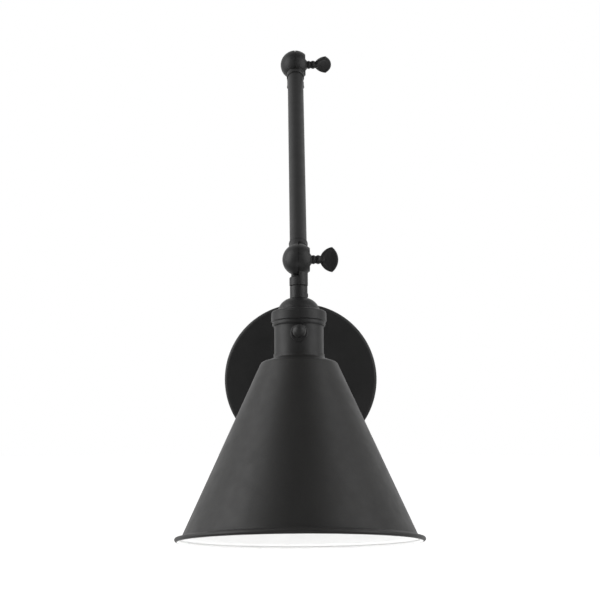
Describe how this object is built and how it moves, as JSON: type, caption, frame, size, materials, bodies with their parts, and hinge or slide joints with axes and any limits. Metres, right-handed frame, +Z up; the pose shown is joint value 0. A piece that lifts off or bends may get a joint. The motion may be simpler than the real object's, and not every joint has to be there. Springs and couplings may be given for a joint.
{
  "type": "swing arm wall sconce",
  "caption": "Swing arm wall light: round canopy, jointed arms on ball knuckles with thumb screws, turn-knob lamp socket and a conical metal shade.",
  "frame": {"origin": "on the wall at the centre of the canopy, midway between the two box screws", "axes": "+Y into the wall, +Z up, +X to the right of someone who faces the lamp"},
  "size_m": [0.1832, 0.3739, 0.3961],
  "materials": {
    "black_paint": "satin black powder coat",
    "shade_paint": "satin black outside, white inside",
    "zinc_steel": "bright zinc plated",
    "brass": "plain",
    "green_paint": "green dyed steel",
    "moulded_resin": "moulded black resin",
    "fibre_liner": "brown insulating fibre",
    "nylon": "black nylon",
    "wire_insulation": "insulated wire"
  },
  "bodies": {
    "wall_side": {"wall_canopy": "black_paint", "mounting_strap": "zinc_steel", "canopy_studs": "zinc_steel", "canopy_cap_nuts": "black_paint", "ground_screw": "green_paint", "hub_escutcheon": "black_paint", "hub_nipple": "brass", "hub_lock_washer": "zinc_steel", "hub_nut": "zinc_steel", "nipple_bushing": "moulded_resin", "base_swivel_washer": "nylon"},
    "base_turn": {"base_knuckle": "black_paint", "base_swivel_screw": "black_paint", "base_friction_disc": "nylon"},
    "base_screw": {"base_thumb_screw": "black_paint"},
    "lower_arm": {"lower_arm_base_knuckle": "black_paint", "lower_arm_tube": "black_paint", "lower_arm_elbow_knuckle": "black_paint", "lower_arm_wires": "wire_insulation", "base_key_washer": "nylon", "elbow_friction_disc": "nylon"},
    "elbow_screw": {"elbow_thumb_screw": "black_paint"},
    "upper_arm": {"upper_arm_elbow_knuckle": "black_paint", "upper_arm_tube": "black_paint", "upper_arm_head_knuckle": "black_paint", "upper_arm_wires": "wire_insulation", "elbow_key_washer": "nylon", "head_friction_disc": "nylon"},
    "head_screw": {"head_thumb_screw": "black_paint"},
    "stem": {"lamp_stem": "black_paint", "stem_wires": "wire_insulation", "head_key_washer": "nylon"},
    "lamp_head": {"swivel_collar": "black_paint", "swivel_set_screw": "black_paint", "cap_locknut": "zinc_steel", "socket_cap": "black_paint", "socket_shell": "black_paint", "insulating_liner": "fibre_liner", "socket_body": "moulded_resin", "screw_shell": "brass", "centre_contact": "brass", "contact_rivet": "brass", "terminal_screws": "brass", "socket_wires": "wire_insulation", "switch_case": "moulded_resin", "switch_bushing": "black_paint", "shade": "shade_paint", "shade_retaining_ring": "moulded_resin"},
    "switch": {"switch_knob": "black_paint", "switch_rotor": "moulded_resin"}
  },
  "joints": [
    {"name": "base_swivel", "type": "hinge", "parent": "wall_side", "child": "base_turn", "pos_m": [0, -0.048, 0], "axis": [0, 1, 0], "range_deg": [-89, 91]},
    {"name": "base_tilt", "type": "hinge", "parent": "base_turn", "child": "lower_arm", "pos_m": [0, -0.048, 0], "axis": [0.9998, 0, 0.0175], "range_deg": [-5, 90]},
    {"name": "elbow_tilt", "type": "hinge", "parent": "lower_arm", "child": "upper_arm", "pos_m": [-0.00454, -0.048, 0.25996], "axis": [-0.9998, 0, -0.0175], "range_deg": [-5, 129]},
    {"name": "head_tilt", "type": "hinge", "parent": "upper_arm", "child": "stem", "pos_m": [-0.00168, -0.25006, 0.09636], "axis": [-0.9999, -0.011, -0.0039], "range_deg": [-25, 130]},
    {"name": "head_swivel", "type": "hinge", "parent": "stem", "child": "lamp_head", "pos_m": [-0.00154, -0.25404, 0.07209], "axis": [0.0056, -0.1617, -0.9868], "range_deg": [-165, 165]},
    {"name": "switch_turn", "type": "hinge", "parent": "lamp_head", "child": "switch", "pos_m": [-0.00116, -0.27907, 0.04295], "axis": [0.0102, -0.9868, 0.1617], "continuous": true},
    {"name": "base_screw_turn", "type": "hinge", "parent": "base_turn", "child": "base_screw", "pos_m": [0, -0.048, 0], "axis": [0.9998, 0, 0.0175], "range_deg": [0, 270]},
    {"name": "elbow_screw_turn", "type": "hinge", "parent": "lower_arm", "child": "elbow_screw", "pos_m": [-0.00454, -0.048, 0.25996], "axis": [0.9998, 0, 0.0175], "range_deg": [0, 270]},
    {"name": "head_screw_turn", "type": "hinge", "parent": "upper_arm", "child": "head_screw", "pos_m": [-0.00168, -0.25006, 0.09636], "axis": [0.9999, 0.011, 0.0039], "range_deg": [0, 270]}
  ]
}
